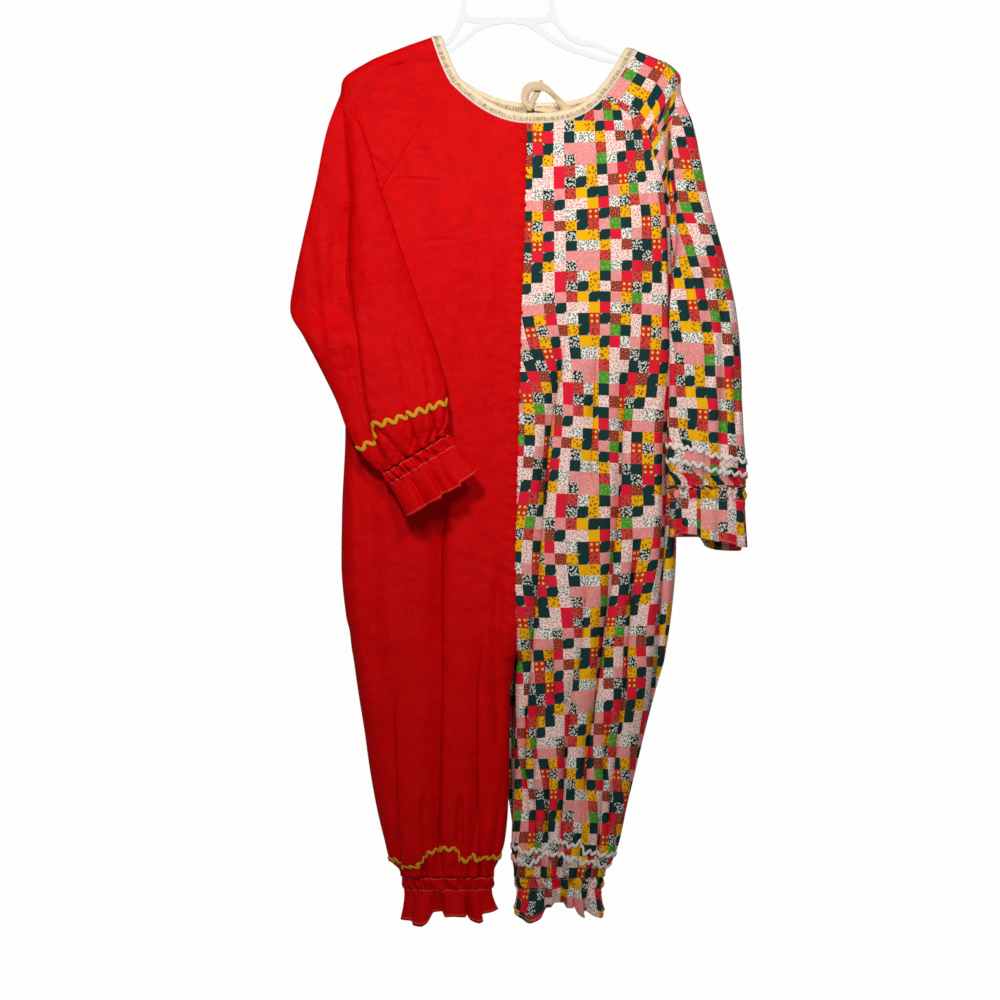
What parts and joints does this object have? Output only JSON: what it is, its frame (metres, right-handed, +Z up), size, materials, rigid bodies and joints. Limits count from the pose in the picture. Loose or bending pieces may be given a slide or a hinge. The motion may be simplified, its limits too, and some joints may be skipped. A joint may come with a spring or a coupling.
{
  "type": "clown suit on a hanger",
  "caption": "One-piece long-sleeved clown suit, half plain red and half patchwork print, with gathered cuffs, zigzag braid, a bound and tied neck, hung on a clear plastic hanger.",
  "frame": {"origin": "the seat of the hanger's hook, where a rail bears on its inside top", "axes": "+Z up, -Y the front of the suit, +X across it to the viewer's right, the patchwork half"},
  "size_m": [0.592, 0.1194, 1.328],
  "materials": {
    "red_cotton": "plain woven cotton",
    "patchwork_cotton": "printed cotton, small square patches",
    "cream_binding": "puckered cream ribbon",
    "ochre_braid": "woven zigzag braid",
    "white_braid": "woven zigzag braid",
    "clear_plastic": "clear moulded plastic"
  },
  "bodies": {
    "root": {"front_red": "red_cotton", "back_red": "red_cotton", "sleeve_red": "red_cotton", "cuff_red": "red_cotton", "ankle_red": "red_cotton", "front_patch": "patchwork_cotton", "back_patch": "patchwork_cotton", "sleeve_patch": "patchwork_cotton", "cuff_patch": "patchwork_cotton", "ankle_patch": "patchwork_cotton", "neck_binding": "cream_binding", "tie_knot": "cream_binding", "tie_loop": "cream_binding", "tie_end": "cream_binding", "braid_sleeve_red": "ochre_braid", "braid_leg_red_front": "ochre_braid", "braid_leg_red_back": "ochre_braid", "braid_sleeve_patch_upper": "white_braid", "braid_sleeve_patch_lower": "white_braid", "braid_leg_patch_upper_front": "white_braid", "braid_leg_patch_upper_back": "white_braid", "braid_leg_patch_lower_front": "white_braid", "braid_leg_patch_lower_back": "white_braid", "hanger_frame": "clear_plastic", "hanger_hook": "clear_plastic"}
  },
  "joints": []
}
